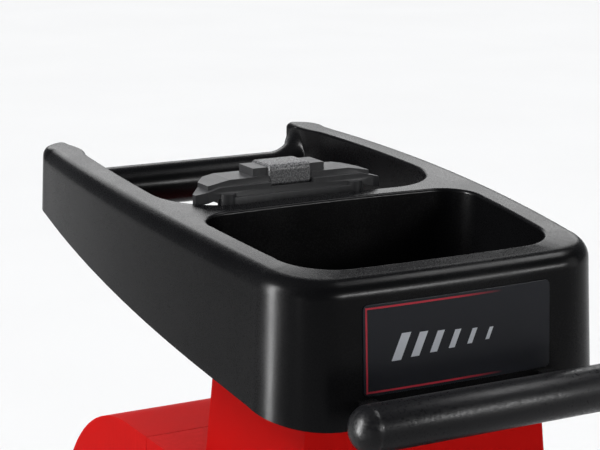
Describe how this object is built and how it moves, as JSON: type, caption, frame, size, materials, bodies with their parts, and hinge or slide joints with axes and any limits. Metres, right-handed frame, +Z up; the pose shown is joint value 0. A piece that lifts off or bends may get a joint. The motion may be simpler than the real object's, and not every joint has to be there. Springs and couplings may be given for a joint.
{
  "type": "wood chipper",
  "caption": "Electric garden chipper with a wide feed hopper, slow cutting roller, push bar, wheels and a slide-out collection box.",
  "frame": {"origin": "on the floor, at the middle of the machine's footprint", "axes": "+Z up, the front with the controls faces -Y, +X to the right seen from the front"},
  "size_m": [0.488, 0.625, 0.963],
  "materials": {
    "hopper_plastic": "fine-grained injection-moulded polypropylene",
    "grip_soft": "soft-touch grained grip",
    "badge": "glossy printed plate",
    "pusher_plastic": "satin moulded plastic",
    "body_red": "glossy red moulded plastic",
    "trim_black": "matt moulded plastic",
    "button_green": "glossy",
    "button_red": "glossy",
    "steel": "machined steel",
    "zinc_steel": "zinc plated",
    "brass_pins": "nickel-plated brass",
    "cast_alu": "die-cast",
    "cast_steel": "hardened cast steel",
    "winding": "laminations with varnished windings",
    "motor_black": "black paint",
    "capacitor_white": "plastic can",
    "base_black": "grained moulded plastic",
    "tyre": "hard rubber tread",
    "wheel_red": "moulded wheel",
    "foot_rubber": "rubber",
    "box_grey": "grained moulded plastic"
  },
  "bodies": {
    "chipper": {"hopper": "hopper_plastic", "hopper_funnel": "hopper_plastic", "rear_grip": "hopper_plastic", "front_grip": "grip_soft", "front_grip_brackets": "hopper_plastic", "front_badge": "badge", "pusher_holder": "trim_black", "hopper_screws": "zinc_steel", "front_housing": "body_red", "motor_cover": "body_red", "cover_screws": "zinc_steel", "vent_grilles": "trim_black", "switch_panel": "trim_black", "mains_inlet": "trim_black", "inlet_pins": "brass_pins", "feed_chute": "trim_black", "cutter_frame": "cast_alu", "screw_bush": "steel", "shaft_bearings": "steel", "gearbox_case": "cast_alu", "gearbox_cover": "cast_alu", "gearbox_bolts": "zinc_steel", "motor_stator": "winding", "motor_can": "motor_black", "motor_end_cap": "cast_alu", "run_capacitor": "capacitor_white", "motor_cradle": "cast_alu", "base_deck": "base_black", "base_side_left": "base_black", "base_side_right": "base_black", "base_rear_beam": "base_black", "wheel_axles": "zinc_steel", "front_feet": "foot_rubber"},
    "motor": {"motor_shaft": "steel", "motor_rotor": "steel", "motor_pinion": "steel", "cooling_fan": "trim_black"},
    "idler": {"idler_shaft": "steel", "idler_gear": "steel", "idler_pinion": "steel"},
    "roller": {"roller_shaft": "steel", "output_gear": "steel", "cutting_roller": "cast_steel"},
    "counter_plate": {"counter_plate": "cast_alu"},
    "adjuster": {"adjusting_knob": "button_red", "adjusting_screw": "zinc_steel"},
    "start_button": {"start_button": "button_green"},
    "stop_button": {"stop_button": "button_red"},
    "reset_button": {"reset_button": "trim_black"},
    "direction_knob": {"direction_knob": "trim_black"},
    "pusher": {"pusher_blade": "pusher_plastic", "pusher_head": "pusher_plastic", "pusher_grip": "grip_soft"},
    "collection_box": {"collection_box": "box_grey", "box_handle": "button_red"},
    "box_latch": {"box_latch": "button_red"},
    "wheel_left": {"wheel_left_tyre": "tyre", "wheel_left_rim": "wheel_red"},
    "wheel_right": {"wheel_right_tyre": "tyre", "wheel_right_rim": "wheel_red"}
  },
  "joints": [
    {"name": "motor_spin", "type": "hinge", "parent": "chipper", "child": "motor", "pos_m": [-0.007, 0.0615, 0.60657], "axis": [0, 1, 0], "continuous": true},
    {"name": "idler_spin", "type": "hinge", "parent": "chipper", "child": "idler", "pos_m": [-0.07, -0.0085, 0.60657], "axis": [0, 1, 0], "continuous": true},
    {"name": "roller_spin", "type": "hinge", "parent": "chipper", "child": "roller", "pos_m": [0, -0.1085, 0.55], "axis": [0, 1, 0], "continuous": true},
    {"name": "adjuster_turn", "type": "hinge", "parent": "chipper", "child": "adjuster", "pos_m": [0.15, -0.1075, 0.55], "axis": [-1, 0, 0], "range_deg": [-720, 360]},
    {"name": "plate_slide", "type": "slide", "parent": "chipper", "child": "counter_plate", "axis": [-1, 0, 0], "range_m": [-0.004, 0.002]},
    {"name": "start_press", "type": "slide", "parent": "chipper", "child": "start_button", "axis": [0, 1, 0], "range_m": [0, 0.003], "stiffness_N_per_m": 500, "springref_m": -0.001},
    {"name": "stop_press", "type": "slide", "parent": "chipper", "child": "stop_button", "axis": [0, 1, 0], "range_m": [0, 0.003], "stiffness_N_per_m": 500, "springref_m": -0.001},
    {"name": "reset_press", "type": "slide", "parent": "chipper", "child": "reset_button", "axis": [0, 1, 0], "range_m": [0, 0.003], "stiffness_N_per_m": 500, "springref_m": -0.001},
    {"name": "direction_turn", "type": "hinge", "parent": "chipper", "child": "direction_knob", "pos_m": [0.034, -0.2025, 0.628], "axis": [0, 1, 0], "range_deg": [-45, 45]},
    {"name": "pusher_lift", "type": "slide", "parent": "chipper", "child": "pusher", "axis": [0, 0, 1], "range_m": [0, 0.26]},
    {"name": "box_slide", "type": "slide", "parent": "chipper", "child": "collection_box", "axis": [0, -1, 0], "range_m": [0, 0.42]},
    {"name": "latch_slide", "type": "slide", "parent": "chipper", "child": "box_latch", "axis": [0, 0, -1], "range_m": [0, 0.012]},
    {"name": "wheel_left_spin", "type": "hinge", "parent": "chipper", "child": "wheel_left", "pos_m": [-0.224, 0.2225, 0.09], "axis": [1, 0, 0], "continuous": true},
    {"name": "wheel_right_spin", "type": "hinge", "parent": "chipper", "child": "wheel_right", "pos_m": [0.224, 0.2225, 0.09], "axis": [1, 0, 0], "continuous": true}
  ],
  "couplings": [
    {"joint": "idler_spin", "follows": "motor_spin", "ratio": -0.16667},
    {"joint": "roller_spin", "follows": "motor_spin", "ratio": 0.033333},
    {"joint": "adjuster_turn", "follows": "plate_slide", "rad_per_m": 3141.6}
  ]
}
